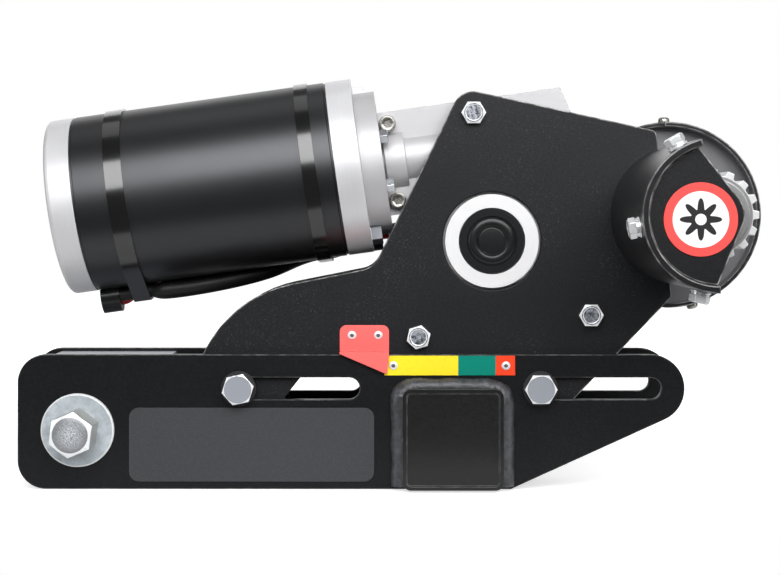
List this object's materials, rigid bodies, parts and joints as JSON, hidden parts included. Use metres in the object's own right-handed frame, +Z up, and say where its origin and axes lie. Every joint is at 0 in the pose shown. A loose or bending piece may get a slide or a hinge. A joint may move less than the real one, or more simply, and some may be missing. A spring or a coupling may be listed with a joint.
{
  "type": "caravan motor mover",
  "caption": "Motor mover for one caravan wheel: worm-geared motor and toothed tyre roller on a drive unit that slides on a crossbar base, wound in by a hexagon shaft.",
  "frame": {"origin": "centre of the square crossbar socket, midway between the two base plates", "axes": "+X towards the tyre, along the slide; +Y along the crossbar, away from the roller; +Z up"},
  "size_m": [0.4559, 0.247, 0.2477],
  "materials": {
    "black_coat": "fine textured black powder coat",
    "zinc_steel": "bright zinc plate",
    "dark_steel": "machined steel",
    "black_plastic": "moulded black plastic",
    "label_grey": "bare dark grey film",
    "scale_print": "printed yellow, green and red strip",
    "bronze": "bearing bronze",
    "red_plastic": "red plastic",
    "sign_print": null,
    "cast_aluminium": "die-cast aluminium",
    "turned_aluminium": "machined aluminium",
    "motor_silver": "silver paint over a casting",
    "motor_black": "gloss black paint",
    "rubber_black": "moulded rubber",
    "ferrite": "ferrite",
    "carbon": "pressed carbon",
    "copper": "copper"
  },
  "bodies": {
    "base": {"base_front_plate": "black_coat", "base_rear_plate": "black_coat", "base_top_web": "zinc_steel", "crossbar_sleeve": "black_coat", "sleeve_welds": "black_coat", "crossbar_end_cap": "black_plastic", "blank_label": "label_grey", "scale_strip": "scale_print", "scale_rivets": "zinc_steel", "engagement_bushes": "bronze", "spindle_block": "dark_steel"},
    "engagement": {"engagement_shaft": "zinc_steel", "engagement_washer": "zinc_steel", "engagement_bevel": "dark_steel"},
    "spindle": {"spindle": "dark_steel", "spindle_bevel": "dark_steel"},
    "drive": {"drive_front_cheek": "black_coat", "drive_rear_cheek": "black_coat", "cheek_spacers": "zinc_steel", "cheek_bolts": "zinc_steel", "guide_bolts": "zinc_steel", "guide_bushes": "dark_steel", "spindle_nut": "bronze", "pointer": "red_plastic", "pointer_rivets": "zinc_steel", "housing_front": "cast_aluminium", "housing_rear": "cast_aluminium", "housing_screws": "dark_steel", "adapter_flange": "cast_aluminium", "flange_screws": "zinc_steel", "layshaft_bearings": "dark_steel", "bearing_cap": "rubber_black", "shaft_bearings": "dark_steel", "motor_can": "motor_black", "motor_end_cap": "motor_silver", "motor_front_ring": "motor_silver", "motor_magnets": "ferrite", "brushes": "carbon", "motor_straps": "black_plastic", "lead_gland": "black_plastic", "red_lead": "red_plastic", "black_lead": "black_plastic", "lead_connectors": "black_plastic", "roller_shield": "black_coat", "shield_end_plate": "black_coat", "shield_bolts": "zinc_steel", "sign_disc": "sign_print", "roller_bearings": "dark_steel", "gear_case": "black_coat", "case_cover": "black_coat", "case_screws": "dark_steel"},
    "rotor": {"rotor_shaft": "dark_steel", "armature": "dark_steel", "commutator": "copper"},
    "layshaft": {"layshaft_pinion": "dark_steel", "worm_wheel": "bronze"},
    "idler": {"idler_gear": "dark_steel"},
    "roller": {"toothed_roller": "turned_aluminium", "roller_shaft": "dark_steel", "roller_gear": "dark_steel"}
  },
  "joints": [
    {"name": "drive_slide", "type": "slide", "parent": "base", "child": "drive", "axis": [1, 0, 0], "range_m": [0, 0.065]},
    {"name": "engagement_turn", "type": "hinge", "parent": "base", "child": "engagement", "pos_m": [-0.2247, 0, 0.0044], "axis": [0, 1, 0], "range_deg": [0, 2926]},
    {"name": "spindle_turn", "type": "hinge", "parent": "base", "child": "spindle", "pos_m": [-0.2, 0, 0.0044], "axis": [-1, 0, 0], "range_deg": [0, 2926]},
    {"name": "motor_spin", "type": "hinge", "parent": "drive", "child": "rotor", "pos_m": [0.01592, 0, 0.1737], "axis": [0.9903, 0, 0.1392], "continuous": true},
    {"name": "layshaft_spin", "type": "hinge", "parent": "drive", "child": "layshaft", "pos_m": [0.0238, 0, 0.1176], "axis": [0, -1, 0], "continuous": true},
    {"name": "idler_spin", "type": "hinge", "parent": "drive", "child": "idler", "pos_m": [0.06394, 0, 0.11863], "axis": [0, -1, 0], "continuous": true},
    {"name": "roller_spin", "type": "hinge", "parent": "drive", "child": "roller", "pos_m": [0.1366, 0, 0.1334], "axis": [0, -1, 0], "continuous": true}
  ],
  "couplings": [
    {"joint": "engagement_turn", "follows": "drive_slide", "rad_per_m": 785.4},
    {"joint": "spindle_turn", "follows": "drive_slide", "rad_per_m": 785.4},
    {"joint": "layshaft_spin", "follows": "motor_spin", "ratio": 0.05},
    {"joint": "idler_spin", "follows": "motor_spin", "ratio": -0.033333},
    {"joint": "roller_spin", "follows": "motor_spin", "ratio": 0.016}
  ]
}
